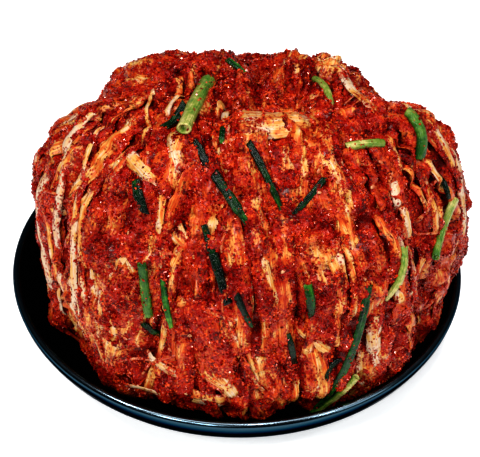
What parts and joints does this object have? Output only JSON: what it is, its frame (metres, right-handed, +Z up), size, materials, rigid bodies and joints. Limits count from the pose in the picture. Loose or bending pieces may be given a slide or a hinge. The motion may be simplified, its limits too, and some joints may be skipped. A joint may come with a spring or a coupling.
{
  "type": "whole cabbage kimchi heaped in a round dish",
  "caption": "Round black dish heaped high with chilli-coated cabbage kimchi quarters and cut green onion, resting on its flat base.",
  "frame": {"origin": "middle of the dish's flat base", "axes": "+Z up out of the dish, -Y towards the front, +X to the right seen from the front"},
  "size_m": [0.32, 0.32, 0.2112],
  "materials": {
    "dish": "glossy black with a faint navy tint",
    "kimchi": "wet cabbage leaves, cream to orange, coated in granular deep red chilli paste",
    "onion_stem": "wet light green cut onion stem flecked with chilli",
    "onion_leaf": "wet dark green onion leaf flecked with chilli"
  },
  "bodies": {
    "root": {"dish": "dish", "quarter_front": "kimchi", "quarter_front_left": "kimchi", "quarter_front_right": "kimchi", "quarter_left": "kimchi", "quarter_right": "kimchi", "quarter_crown_left": "kimchi", "quarter_crown_right": "kimchi", "quarter_back": "kimchi", "quarter_back_left": "kimchi", "quarter_back_right": "kimchi", "onion_stem_01": "onion_stem", "onion_stem_02": "onion_stem", "onion_stem_03": "onion_stem", "onion_stem_04": "onion_stem", "onion_stem_05": "onion_stem", "onion_stem_06": "onion_stem", "onion_stem_07": "onion_stem", "onion_stem_08": "onion_stem", "onion_stem_09": "onion_stem", "onion_stem_10": "onion_stem", "onion_stem_11": "onion_stem", "onion_stem_12": "onion_stem", "onion_leaf_01": "onion_leaf", "onion_leaf_02": "onion_leaf", "onion_leaf_03": "onion_leaf", "onion_leaf_04": "onion_leaf", "onion_leaf_05": "onion_leaf", "onion_leaf_06": "onion_leaf", "onion_leaf_07": "onion_leaf", "onion_leaf_08": "onion_leaf", "onion_leaf_09": "onion_leaf", "onion_leaf_10": "onion_leaf", "onion_leaf_11": "onion_leaf", "onion_leaf_12": "onion_leaf", "onion_leaf_13": "onion_leaf", "onion_leaf_14": "onion_leaf", "onion_leaf_15": "onion_leaf", "onion_leaf_16": "onion_leaf", "onion_leaf_17": "onion_leaf", "onion_leaf_18": "onion_leaf", "onion_leaf_19": "onion_leaf", "onion_leaf_20": "onion_leaf", "onion_leaf_21": "onion_leaf", "onion_leaf_22": "onion_leaf"}
  },
  "joints": []
}
